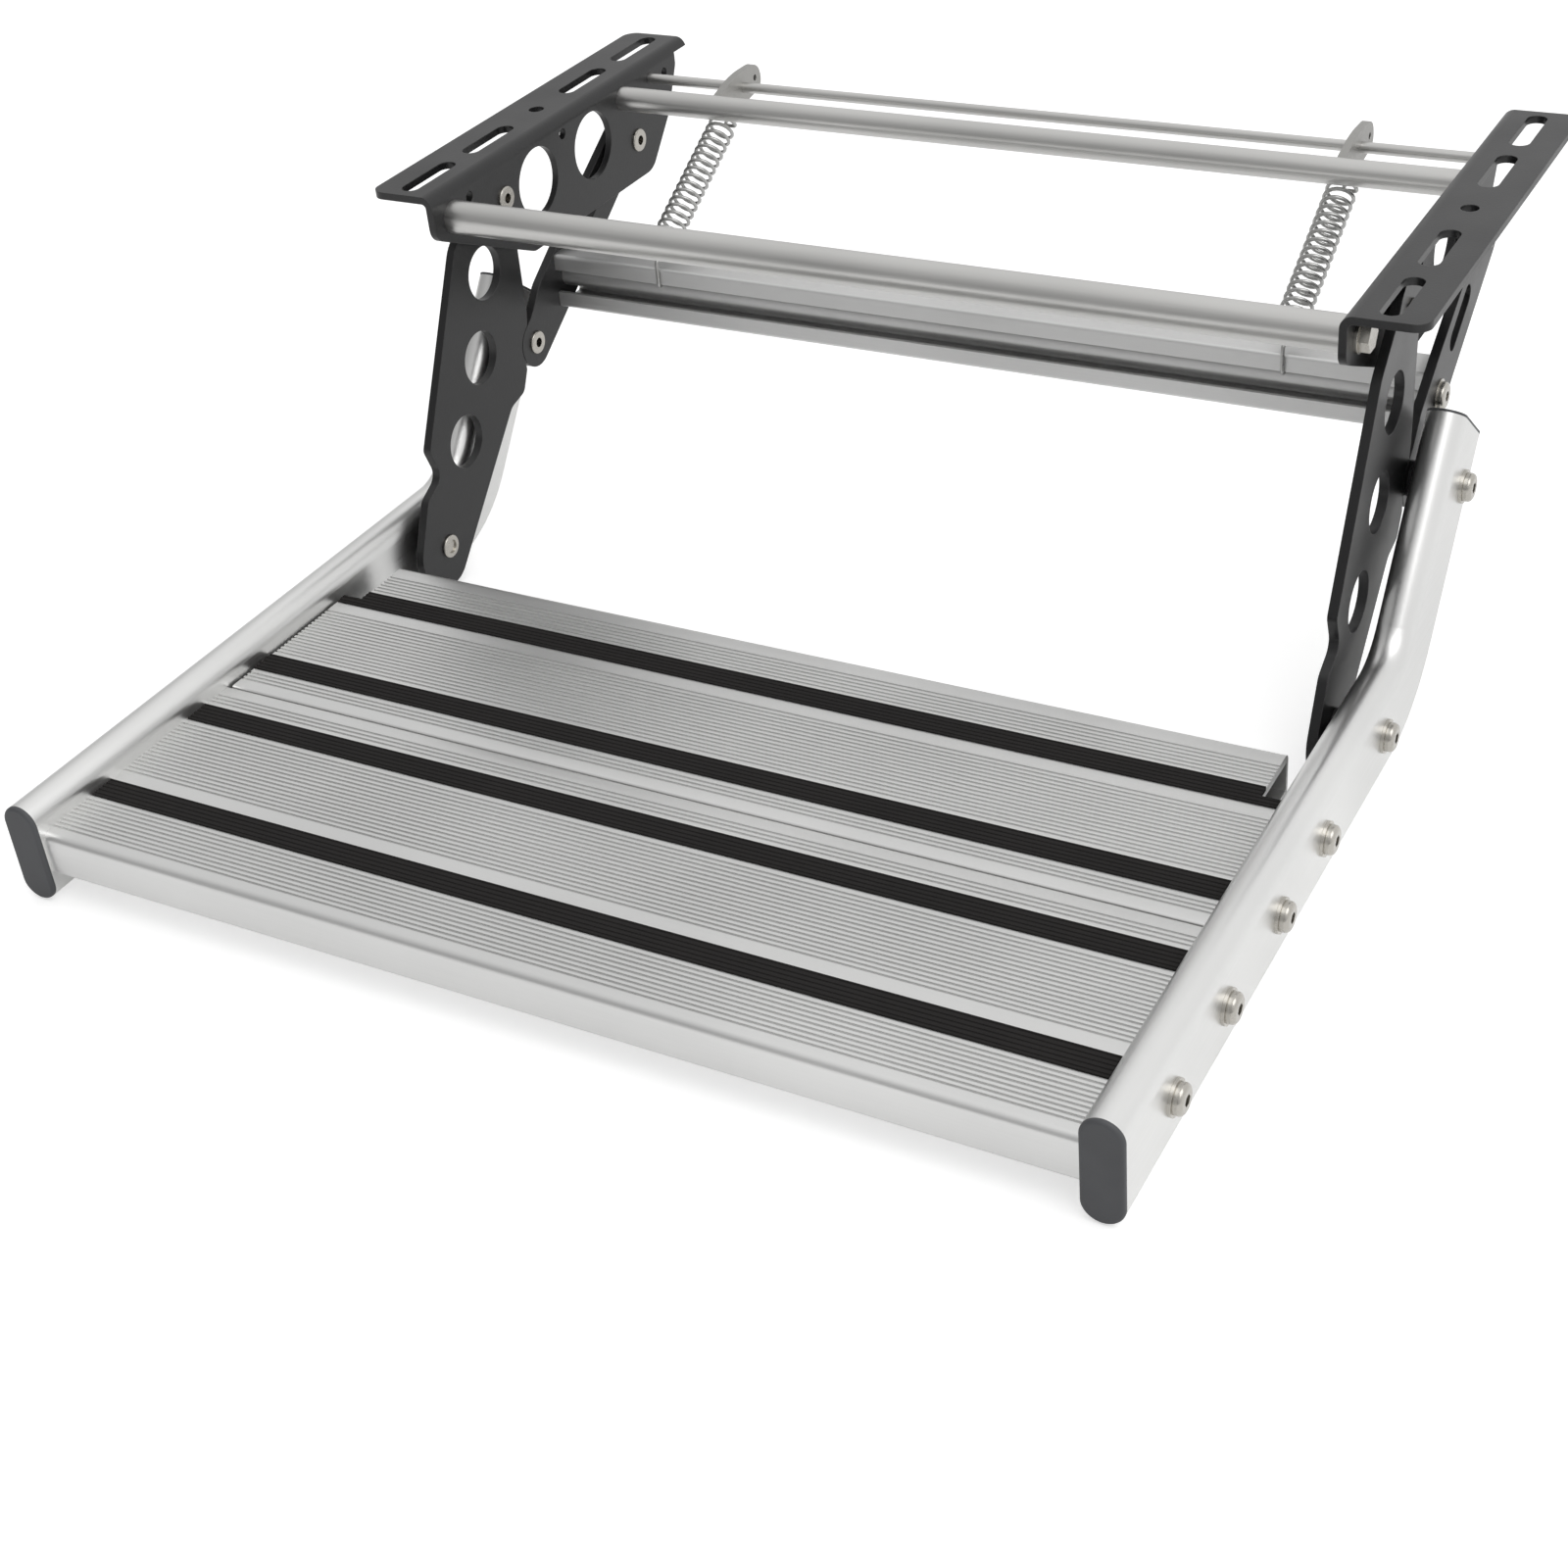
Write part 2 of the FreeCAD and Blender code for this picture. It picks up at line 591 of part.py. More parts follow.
def channel():
    """Cross member: lipped channel open to the front with a screw port in its middle."""
    y0, y1 = channel_front_y, channel_front_y + channel_depth
    z1 = channel_top_z
    z0 = z1 - channel_height
    wall = channel_wall
    half = link_inner_x
    body = slab(((y0, z0, 2), (y0, z1, 2), (y1, z1, 2), (y1, z0, 2)), -half, half)
    body = body.cut(slab(((y0 + wall, z0 + wall, 1), (y0 + wall, z1 - wall, 1),
                          (y1 - wall, z1 - wall, 1), (y1 - wall, z0 + wall, 1)), -half - 1, half + 1))
    body = body.cut(slab(((y0 - 1, z0 + channel_lip, 0), (y0 - 1, z1 - channel_lip, 0),
                          (y0 + wall + 0.5, z1 - channel_lip, 0), (y0 + wall + 0.5, z0 + channel_lip, 0)),
                         -half - 1, half + 1))
    y, z = channel_bolt_at
    rib = slab(((y, z - wall / 2, 0), (y, z + wall / 2, 0), (y1 - wall / 2, z + wall / 2, 0),
                (y1 - wall / 2, z - wall / 2, 0)), -half, half)
    body = body.fuse([round_bar(channel_bolt_at, channel_port_radius, -half, half), rib])
    return body.cut(round_bar(channel_bolt_at, bolt_radius, -half - 1, half + 1)).removeSplitter()


def channel_bolt():
    """Bolt and washer that hold the right rear link to the cross member."""
    ring = tube_bar(channel_bolt_at, washer_radius, bolt_radius, link_outer_x, link_outer_x + washer_thickness / 2)
    face_x = link_outer_x + washer_thickness / 2
    bolt = button_bolt(channel_bolt_at, face_x, link_inner_x - channel_bolt_length, bolt_radius, thin_head_height)
    return bolt, ring


def bent_wire(corners):
    """Round spring wire swept along rounded corners (point, radius)."""
    path = rounded_wire(corners, False)
    start = corners[0][0]
    section = Part.Wire([Part.makeCircle(spring_wire / 2, start, corners[1][0] - start)])
    return path.makePipeShell([section], True, True)


def coil(length):
    """Ribbed body of the spring's turns, hollow inside, along Z from zero."""
    pitch = length / spring_turns
    inner = spring_radius - spring_wire / 2
    points = [Vector(0, 0, 0)]
    for i in range(spring_turns):
        points += [Vector(inner, 0, i * pitch), Vector(spring_radius, 0, (i + 0.5) * pitch)]
    points += [Vector(inner, 0, length), Vector(0, 0, length), points[0]]
    body = Part.Face(Part.makePolygon(points)).revolve(Vector(0, 0, 0), Vector(0, 0, 1), 360)
    bore = Part.makeCylinder(spring_radius - spring_wire, length - 2 * spring_wire, Vector(0, 0, spring_wire))
    return body.cut(bore)


def spring(x):
    """Tension spring at x, from the hole in its tab to the lower edge of the cross member's lip."""
    top = Vector(x, spring_top[0], spring_top[1])
    over_lip = Vector(x, channel_front_y - spring_wire / 2 - spring_fit, spring_knee_z)
    along = over_lip - top
    length = along.Length
    along.normalize()
    side = Vector(hook_radius, 0, 0)
    body = coil(length - spring_top_space - spring_low_space)
    body.rotate(Vector(0, 0, 0), Vector(1, 0, 0), math.degrees(math.atan2(-along.y, along.z)))
    coil_from = top + along * spring_top_space
    coil_to = over_lip - along * spring_low_space
    body.translate(coil_from)
    upper = bent_wire([
        (top - side + along * 8, 0), (top - side, hook_radius * 0.98), (top + side, hook_radius * 0.98),
        (top + side + along * 13, 4), (top + along * 19, 4), (coil_from + along, 0),
    ])
    under_lip_z = channel_top_z - channel_lip - spring_wire / 2 - spring_fit
    behind_lip = Vector(x, channel_front_y + channel_wall + spring_wire / 2 + spring_fit, under_lip_z)
    bend = (behind_lip.y - over_lip.y) / 2
    lower = bent_wire([
        (coil_to - along, 0), (over_lip, 4), (Vector(x, over_lip.y, under_lip_z - bend + spring_wire / 2), bend * 0.98),
        (Vector(x, behind_lip.y, under_lip_z - bend + spring_wire / 2), bend * 0.98),
        (behind_lip + Vector(0, 0, 2.5), 0),
    ])
    return body.fuse([upper, lower]).removeSplitter()


def save(name, shapes):
    """Write one node as a STEP file."""
    shape = shapes[0] if len(shapes) == 1 else Part.makeCompound(shapes)
    shape.exportStep(os.path.join(out_dir, name + ".step"))


def save_pair(name, shape):
    """Write a right-side piece and its left-side twin as two nodes."""
    save(name + "_right", [shape])
    save(name + "_left", [mirrored(shape)])


def main():
    os.makedirs(out_dir, exist_ok=True)
    save_pair("bracket", bracket())
    save_pair("front_link", front_link())
    save_pair("rear_link", rear_link())
    save_pair("rail", rail())
    save_pair("front_cap", front_cap())
    save_pair("arm_cap", arm_cap())
    save_pair("spring_tab", spring_tab())
    save("spring_right", [spring(spring_x)])
    save("spring_left", [spring(-spring_x)])
    half = bracket_inner_x
    inner = front_tube_radius - front_tube_wall
    save("front_tube", [tube_bar(front_tube_at, front_tube_radius, inner, -half, half)])
    inner = rear_tube_radius - rear_tube_wall
    save("rear_tube", [tube_bar(rear_tube_at, rear_tube_radius, inner, -half, half)])
    save("thin_rod", [round_bar(thin_rod_at, thin_rod_radius, -bracket_outer_x, bracket_outer_x)])
    save("tube_plugs", both_sides([tube_plug()]))
    bolt, ring = tube_bolt()
    save("tube_bolts", both_sides([bolt]))
    save("tube_washers", both_sides([ring]))
    for name, shapes in zip(("hanger_rivets", "hanger_spacers"), hanger_pivots()):
        save(name, shapes)
    names = ("step_pivot_bolts", "step_pivot_sleeves", "step_pivot_spacers", "step_pivot_washers")
    for name, shapes in zip(names, step_pivots()):
        save(name, shapes)
    names = ("elbow_bolts", "elbow_washers", "elbow_rivets", "elbow_bushes")
    for name, shapes in zip(names, elbow_halves()):
        save(name, shapes)
    save("cross_member", [channel()])
    bolt, ring = channel_bolt()
    save("cross_bolts", both_sides([bolt]))
    save("cross_washers", both_sides([ring]))
    section = plank_section()
    save("tread_front", [place_plank(section, rail_inner_x)])
    save("tread_rear", [to_rear_plank(place_plank(section, rear_plank_half)).cut(link_relief())])
    for i, start in enumerate(strip_starts):
        save("grip_strip_%d" % (i + 1), [grip_strip(start, rail_inner_x)])
        save("grip_strip_%d" % (4 - i), [to_rear_plank(grip_strip(start, rear_plank_half)).cut(link_relief())])
    bolts, washers, spacers = tread_fasteners()
    save("tread_bolts", bolts)
    save("tread_washers", washers)
    save("tread_spacers", spacers)


main()
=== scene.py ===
"""Folding caravan entry step: finishes, tread planks, spring tabs and springs, light and camera."""

import logging
import math
from dataclasses import dataclass
from enum import Enum

import bmesh
import bpy
from mathutils import Matrix, Vector


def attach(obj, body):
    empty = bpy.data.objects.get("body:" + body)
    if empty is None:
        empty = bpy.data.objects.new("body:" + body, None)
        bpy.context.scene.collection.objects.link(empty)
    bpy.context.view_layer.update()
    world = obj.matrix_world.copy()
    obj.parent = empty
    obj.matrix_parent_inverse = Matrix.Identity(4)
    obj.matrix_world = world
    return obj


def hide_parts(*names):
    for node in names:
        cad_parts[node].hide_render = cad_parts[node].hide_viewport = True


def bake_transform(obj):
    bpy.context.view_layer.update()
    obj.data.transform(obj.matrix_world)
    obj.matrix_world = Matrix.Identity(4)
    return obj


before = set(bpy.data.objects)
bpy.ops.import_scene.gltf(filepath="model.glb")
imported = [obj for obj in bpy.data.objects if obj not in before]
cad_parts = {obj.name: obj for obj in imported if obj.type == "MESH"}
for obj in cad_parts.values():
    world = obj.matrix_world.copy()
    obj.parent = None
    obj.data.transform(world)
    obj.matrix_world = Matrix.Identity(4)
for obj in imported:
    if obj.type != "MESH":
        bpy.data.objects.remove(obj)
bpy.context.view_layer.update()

logging.basicConfig(level=logging.INFO, format="%(name)s: %(message)s")
log = logging.getLogger("entry_step")

Pair = tuple[float, float]
Triple = tuple[float, float, float]
Colour = Triple

MM = 0.001
MERGE = 1e-7
NEAR = 1e-6
WHITE = (1.0, 1.0, 1.0, 1.0)


class Grain(Enum):
    """Direction in which a metal was drawn or brushed, as cells for each metre."""

    ACROSS = (14.0, 900.0, 900.0)
    REARWARD = (900.0, 14.0, 900.0)
    NONE = (420.0, 420.0, 420.0)


def even(cells: float) -> Triple:
    """The same number of cells along X, Y and Z."""
    return (cells, cells, cells)


def shaded(colour: Colour, factor: float) -> Colour:
    """The same colour, lighter or darker by a factor."""
    return (colour[0] * factor, colour[1] * factor, colour[2] * factor)


def placed(mesh: bmesh.types.BMesh, name: str) -> bpy.types.Object:
    """Turn a finished mesh into an object of the scene.

    Args:
        mesh: The mesh, which is freed.
        name: Name of the object.

    Returns:
        The object.
    """
    data = bpy.data.meshes.new(name)
    mesh.to_mesh(data)
    mesh.free()
    piece = bpy.data.objects.new(name, data)
    bpy.context.scene.collection.objects.link(piece)
    log.info("%s: %d faces", name, len(data.polygons))
    return piece


class NodeBoard:
    """Node tree of a material or world, with short ways to place and join nodes."""

    noise_band: Pair = (0.3, 0.7)
    tint_band: Pair = (0.35, 0.65)
    # Mask and patches of the painted highlight along the edges
    edge_cosine: Pair = (0.985, 0.86)
    edge_highlight_band: Pair = (0.0, 0.8)
    highlight_cells: float = 160.0
    highlight_detail: float = 3.0
    highlight_patches: Pair = (0.25, 1.0)
    bump_strength: float = 0.6
    edge_samples: int = 4

    def __init__(self, owner: bpy.types.Material | bpy.types.World) -> None:
        """Start with an empty tree.

        Args:
            owner: Material or world that the tree belongs to.
        """
        owner.use_nodes = True
        self.owner = owner
        self.tree = owner.node_tree
        self.tree.nodes.clear()

    def add(self, kind: str, **values: object) -> bpy.types.Node:
        """Place a node.

        Args:
            kind: Type of the node without its ShaderNode prefix.
            values: Attribute or, with spaces as underscores, input values.

        Returns:
            The new node.
        """
        node = self.tree.nodes.new("ShaderNode" + kind)
        for key, value in values.items():
            if hasattr(node, key):
                setattr(node, key, value)
            else:
                node.inputs[key.replace("_", " ")].default_value = value
        return node

    def join(self, source: bpy.types.NodeSocket, target: bpy.types.NodeSocket) -> None:
        """Link one socket to another."""
        self.tree.links.new(source, target)

    def noise(self, cells: Triple, detail: float) -> bpy.types.NodeSocket:
        """Noise on object coordinates.

        Args:
            cells: Cells for each metre along X, Y and Z.
            detail: Octaves of the noise.

        Returns:
            Socket with the noise value.
        """
        place = self.add("TexCoord")
        mapping = self.add("Mapping", Scale=cells)
        pattern = self.add("TexNoise", Scale=1.0, Detail=detail)
        self.join(place.outputs["Object"], mapping.inputs["Vector"])
        self.join(mapping.outputs["Vector"], pattern.inputs["Vector"])
        return pattern.outputs["Fac"]

    def ranged(self, source: bpy.types.NodeSocket, taken: Pair, given: Pair) -> bpy.types.NodeSocket:
        """Turn one range of values into another.

        Args:
            source: Socket with the value.
            taken: Values that the two ends of the result stand for.
            given: The two ends of the result.

        Returns:
            Socket with the ranged value.
        """
        ramp = self.add(
            "MapRange", From_Min=taken[0], From_Max=taken[1], To_Min=given[0], To_Max=given[1]
        )
        self.join(source, ramp.inputs["Value"])
        return ramp.outputs["Result"]

    def around(self, source: bpy.types.NodeSocket, middle: float, play: Pair) -> bpy.types.NodeSocket:
        """Let a noise value vary a number.

        Args:
            source: Socket with the noise value.
            middle: The number.
            play: What the lowest and the highest noise add to it.

        Returns:
            Socket with the varied number.
        """
        return self.ranged(source, self.noise_band, (middle + play[0], middle + play[1]))

    def tinted(self, source: bpy.types.NodeSocket, colour: Colour, tint: Pair) -> bpy.types.NodeSocket:
        """Let a noise value vary a colour.

        Args:
            source: Socket with the noise value.
            colour: The colour.
            tint: Its factors where the noise is low and where it is high.

        Returns:
            Socket with the colour.
        """
        ramp = self.add("ValToRGB")
        for stop, position, factor in zip(ramp.color_ramp.elements, self.tint_band, tint):
            stop.position = position
            stop.color = (*shaded(colour, factor), 1.0)
        self.join(source, ramp.inputs["Fac"])
        return ramp.outputs["Color"]

    def edge_highlighted(
        self, colour: bpy.types.NodeSocket, rounding: bpy.types.Node, highlight_colour: Colour
    ) -> bpy.types.NodeSocket:
        """Lighten the colour along the edges, in noise patches: a painted highlight.

        Args:
            colour: Socket with the colour of the untouched surface.
            rounding: Bevel node, whose normal leaves the true one at an edge.
            highlight_colour: Colour of the painted highlight along an edge.

        Returns:
            Socket with the colour and its painted edge highlight.
        """
        flat = self.add("NewGeometry")
        bend = self.add("VectorMath", operation="DOT_PRODUCT")
        amount = self.add("Math", operation="MULTIPLY")
        blend = self.add("Mix", data_type="RGBA")
        blend.inputs["B"].default_value = (*highlight_colour, 1.0)
        # Painted highlight where the bevel normal leaves the true one, broken up by noise patches
        highlight_mask = self.ranged(bend.outputs["Value"], self.edge_cosine, self.edge_highlight_band)
        highlight_patchiness = self.ranged(
            self.noise(even(self.highlight_cells), self.highlight_detail), self.noise_band, self.highlight_patches
        )
        self.join(rounding.outputs["Normal"], bend.inputs[0])
        self.join(flat.outputs["True Normal"], bend.inputs[1])
        self.join(highlight_mask, amount.inputs[0])
        self.join(highlight_patchiness, amount.inputs[1])
        self.join(amount.outputs["Value"], blend.inputs["Factor"])
        self.join(colour, blend.inputs["A"])
        return blend.outputs["Result"]

    def surface(
        self,
        colour: bpy.types.NodeSocket,
        roughness: bpy.types.NodeSocket,
        height: bpy.types.NodeSocket,
        depth: float,
        edge: float,
        highlight_colour: Colour,
        **values: object,
    ) -> bpy.types.Material:
        """Finish the board with a shader, a bump, rounded edges and a painted highlight along the
        edges.

        Args:
            colour: Socket with the base colour.
            roughness: Socket with the roughness.
            height: Socket with the height of the bump.
            depth: Depth of the bump in metres.
            edge: Radius of the rounded edges in metres.
            highlight_colour: Colour of the painted highlight along an edge.
            values: Plain values for the shader's own sockets.

        Returns:
            The finished material.
        """
        shader = self.add("BsdfPrincipled", **values)
        bump = self.add("Bump", Strength=self.bump_strength, Distance=depth)
        rounding = self.add("Bevel", samples=self.edge_samples, Radius=edge)
        output = self.add("OutputMaterial")
        self.join(rounding.outputs["Normal"], bump.inputs["Normal"])
        self.join(height, bump.inputs["Height"])
        self.join(bump.outputs["Normal"], shader.inputs["Normal"])
        # Base colour with a painted highlight along the edges
        self.join(self.edge_highlighted(colour, rounding, highlight_colour), shader.inputs["Base Color"])
        self.join(roughness, shader.inputs["Roughness"])
        self.join(shader.outputs["BSDF"], output.inputs["Surface"])
        return self.owner


@dataclass(frozen=True)
class DrawnMetal:
    """Bare, anodised or plated metal with a fine grain."""

    name: str
    colour: Colour
    roughness: float
    grain: Grain
    depth: float = 0.00003
    edge: float = 0.0003
    grain_detail: float = 3.0
    patch_cells: float = 7.0
    patch_detail: float = 2.0
    tint: Pair = (0.95, 1.03)
    play: Pair = (-0.05, 0.06)
    # Factor on the colour for the painted highlight along the edges
    edge_highlight: float = 1.1

    def build(self) -> bpy.types.Material:
        """Make the material."""
        board = NodeBoard(bpy.data.materials.new(self.name))
        grain = board.noise(self.grain.value, self.grain_detail)
        patches = board.noise(even(self.patch_cells), self.patch_detail)
        return board.surface(
            board.tinted(patches, self.colour, self.tint),
            board.around(grain, self.roughness, self.play),
            grain,
            self.depth,
            self.edge,
            shaded(self.colour, self.edge_highlight),
            Metallic=1.0,
        )


@dataclass(frozen=True)
class PowderCoat:
    """Black powder coat with a slight orange peel."""

    name: str = "black powder coat"
    colour: Colour = (0.009, 0.009, 0.0095)
    roughness: float = 0.33
    depth: float = 0.00006
    edge: float = 0.0007
    peel_cells: float = 700.0
    peel_detail: float = 2.0
    patch_cells: float = 22.0
    patch_detail: float = 3.0
    tint: Pair = (1.0, 1.5)
    play: Pair = (-0.04, 0.06)
    # Colour of the painted highlight along the edges, much lighter than the coat
    edge_highlight: Colour = (0.09, 0.09, 0.088)

    def build(self) -> bpy.types.Material:
        """Make the material."""
        board = NodeBoard(bpy.data.materials.new(self.name))
        peel = board.noise(even(self.peel_cells), self.peel_detail)
        patches = board.noise(even(self.patch_cells), self.patch_detail)
        return board.surface(
            board.tinted(patches, self.colour, self.tint),
            board.around(patches, self.roughness, self.play),
            peel,
            self.depth,
            self.edge,
            self.edge_highlight,
        )


@dataclass(frozen=True)
class MattePolymer:
    """Rubber or moulded plastic with a fine matt grain."""

    name: str
    colour: Colour
    roughness: float
    grain_cells: float
    gloss: float = 0.4
    depth: float = 0.00008
    edge: float = 0.0005
    grain_detail: float = 4.0
    patch_cells: float = 30.0
    patch_detail: float = 2.0
    tint: Pair = (0.9, 1.12)
    play: Pair = (-0.05, 0.05)
    # Factor on the colour for the painted highlight along the edges
    edge_highlight: float = 1.8

    def build(self) -> bpy.types.Material:
        """Make the material."""
        board = NodeBoard(bpy.data.materials.new(self.name))
        grain = board.noise(even(self.grain_cells), self.grain_detail)
        patches = board.noise(even(self.patch_cells), self.patch_detail)
        return board.surface(
            board.tinted(patches, self.colour, self.tint),
            board.around(patches, self.roughness, self.play),
            grain,
            self.depth,
            self.edge,
            shaded(self.colour, self.edge_highlight),
            Specular_IOR_Level=self.gloss,
        )


class Finishes:
    """Materials of the step, each made once."""

    coat = PowderCoat().build()
    rail = DrawnMetal("anodised rail", (0.83, 0.83, 0.82), 0.34, Grain.REARWARD).build()
    tread = DrawnMetal(
        "ribbed tread", (0.78, 0.78, 0.772), 0.4, Grain.ACROSS, depth=0.00001, edge=0.0002
    ).build()
    channel = DrawnMetal("anodised channel", (0.76, 0.76, 0.755), 0.48, Grain.ACROSS).build()
    tube = DrawnMetal("bright tube", (0.66, 0.655, 0.64), 0.33, Grain.ACROSS).build()
    tab = DrawnMetal("plain zinc plate", (0.4, 0.395, 0.38), 0.4, Grain.NONE).build()
    wire = DrawnMetal("spring wire", (0.5, 0.5, 0.49), 0.3, Grain.NONE).build()
    screw = DrawnMetal("stainless fastener", (0.52, 0.5, 0.46), 0.24, Grain.NONE).build()
    strip = MattePolymer("grip rubber", (0.02, 0.0185, 0.018), 0.88, 1400.0, gloss=0.2).build()
    cap = MattePolymer("grey end cap", (0.075, 0.077, 0.082), 0.5, 1100.0).build()
    nylon = MattePolymer("black nylon", (0.016, 0.016, 0.017), 0.5, 1200.0).build()


def dress(names: tuple[str, ...], material: bpy.types.Material) -> None:
    """Give CAD nodes their finish.

    Args:
        names: Names of the nodes.
        material: Their material.
    """
    for name in names:
        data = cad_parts[name].data
        data.materials.clear()
        data.materials.append(material)
        log.info("%s: %s", name, material.name)


@dataclass
class HangingFrame:
    """Two brackets with their cross tubes, rod and fasteners."""

    brackets: tuple[str, ...] = ("bracket_left", "bracket_right")
    tubes: tuple[str, ...] = ("front_tube", "rear_tube", "thin_rod", "tube_plugs")
    fasteners: tuple[str, ...] = ("tube_bolts", "tube_washers", "hanger_rivets")
    spacers: tuple[str, ...] = ("hanger_spacers",)

    def build(self) -> None:
        """Dress the hanging frame."""
        dress(self.brackets, Finishes.coat)
        dress(self.tubes, Finishes.tube)
        dress(self.fasteners, Finishes.screw)
        dress(self.spacers, Finishes.nylon)


@dataclass
class Linkage:
    """Front and rear links with the cross member between the rear ones."""

    links: tuple[str, ...] = (
        "front_link_left", "front_link_right", "rear_link_left", "rear_link_right",
    )
    members: tuple[str, ...] = ("cross_member",)
    fasteners: tuple[str, ...] = ("cross_bolts", "cross_washers", "elbow_rivets")
    bushes: tuple[str, ...] = ("elbow_bushes",)

    def build(self) -> None:
        """Dress the linkage."""
        dress(self.links, Finishes.coat)
        dress(self.members, Finishes.channel)
        dress(self.fasteners, Finishes.screw)
        dress(self.bushes, Finishes.nylon)


@dataclass
class TreadStep:
    """Rails, caps, grip strips and the step's fasteners."""

    rails: tuple[str, ...] = ("rail_left", "rail_right")
    caps: tuple[str, ...] = ("front_cap_left", "front_cap_right", "arm_cap_left", "arm_cap_right")
    strips: tuple[str, ...] = ("grip_strip_1", "grip_strip_2", "grip_strip_3", "grip_strip_4")
    fasteners: tuple[str, ...] = (
        "tread_bolts", "tread_washers", "tread_spacers", "step_pivot_bolts", "step_pivot_sleeves",
        "step_pivot_washers", "elbow_bolts", "elbow_washers",
    )
    spacers: tuple[str, ...] = ("step_pivot_spacers",)

    def build(self) -> None:
        """Dress the step."""
        dress(self.rails, Finishes.rail)
        dress(self.caps, Finishes.cap)
        dress(self.strips, Finishes.strip)
        dress(self.fasteners, Finishes.screw)
        dress(self.spacers, Finishes.nylon)


class Extrusion:
    """Section in the YZ plane, with holes, drawn out along X."""

    bore_segments: int = 24
    sharp_angle: float = math.radians(30.0)

    def __init__(self) -> None:
        """Start with an empty section."""
        self.mesh = bmesh.new()

    def outline(self, points: list[Pair]) -> None:
        """Draw one closed line through the points.

        Args:
            points: Corners (y, z) of the outline or of a chamber.
        """
        corners = [self.mesh.verts.new((0.0, y, z)) for y, z in points]
        for pair in zip(corners, corners[1:] + corners[:1]):
            self.mesh.edges.new(pair)

    def bore(self, place: Pair, radius: float) -> None:
        """Draw a round hole.

        Args:
            place: Centre (y, z) of the hole.
            radius: Its radius.
        """
        turn = Matrix.Translation((0.0, *place)) @ Matrix.Rotation(math.pi / 2, 4, "Y")
        bmesh.ops.create_circle(
            self.mesh, cap_ends=False, segments=self.bore_segments, radius=radius, matrix=turn
        )

    def part_at(self, y: float) -> None:
        """Fill the section and part its face along a line of constant y."""
        bmesh.ops.triangle_fill(
            self.mesh,
            use_beauty=True,
            use_dissolve=False,
            edges=self.mesh.edges[:],
            normal=(1.0, 0.0, 0.0),
        )
        whole = self.mesh.verts[:] + self.mesh.edges[:] + self.mesh.faces[:]
        bmesh.ops.bisect_plane(
            self.mesh, geom=whole, dist=MERGE, plane_co=(0.0, y, 0.0), plane_no=(0.0, 1.0, 0.0)
        )

    def draw(self, x_from: float, x_to: float) -> None:
        """Draw the section out from one X to another."""
        bmesh.ops.translate(self.mesh, verts=self.mesh.verts[:], vec=(x_from, 0.0, 0.0))
        self.push(self.mesh.faces[:], x_to - x_from)

    def widen(self, x: float, reach: float, y_limit: float) -> None:
        """Draw the part of an end face in front of a line further out.

        Args:
            x: Place of the end face.
            reach: How much further it goes, negative to the left.
            y_limit: Line that parts the face.
        """
        end = [
            face for face in self.mesh.faces
            if face.calc_center_median().y < y_limit
            and all(abs(vert.co.x - x) < NEAR for vert in face.verts)
        ]
        self.push(end, reach)
        spare = [face for face in end if face.is_valid]
        bmesh.ops.delete(self.mesh, geom=spare, context="FACES_ONLY")

    def push(self, faces: list[bmesh.types.BMFace], reach: float) -> None:
        """Extrude faces along X."""
        grown = bmesh.ops.extrude_face_region(self.mesh, geom=faces)["geom"]
        verts = [part for part in grown if isinstance(part, bmesh.types.BMVert)]
        bmesh.ops.translate(self.mesh, verts=verts, vec=(reach, 0.0, 0.0))

    def round_off(self, place: Pair, radius: float, segments: int) -> None:
        """Round the long edges that run along X at one place of the section.

        Args:
            place: Corner (y, z) of the section.
            radius: Width of the rounding.
            segments: Number of faces over it.
        """
        edges = [
            edge for edge in self.mesh.edges
            if all(
                abs(vert.co.y - place[0]) + abs(vert.co.z - place[1]) < NEAR for vert in edge.verts
            )
        ]
        bmesh.ops.bevel(
            self.mesh,
            geom=edges,
            offset=radius,
            segments=segments,
            profile=0.5,
            affect="EDGES",
            material=-1,
        )

    def finish(self, name: str, material: bpy.types.Material) -> bpy.types.Object:
        """Make the object.

        Args:
            name: Name of the object.
            material: Material of the piece.

        Returns:
            The object.
        """
        bmesh.ops.remove_doubles(self.mesh, verts=self.mesh.verts[:], dist=MERGE)
        bmesh.ops.recalc_face_normals(self.mesh, faces=self.mesh.faces[:])
        piece = placed(self.mesh, name)
        piece.data.shade_smooth()
        piece.data.set_sharp_from_angle(angle=self.sharp_angle)
        piece.data.materials.append(material)
        return piece


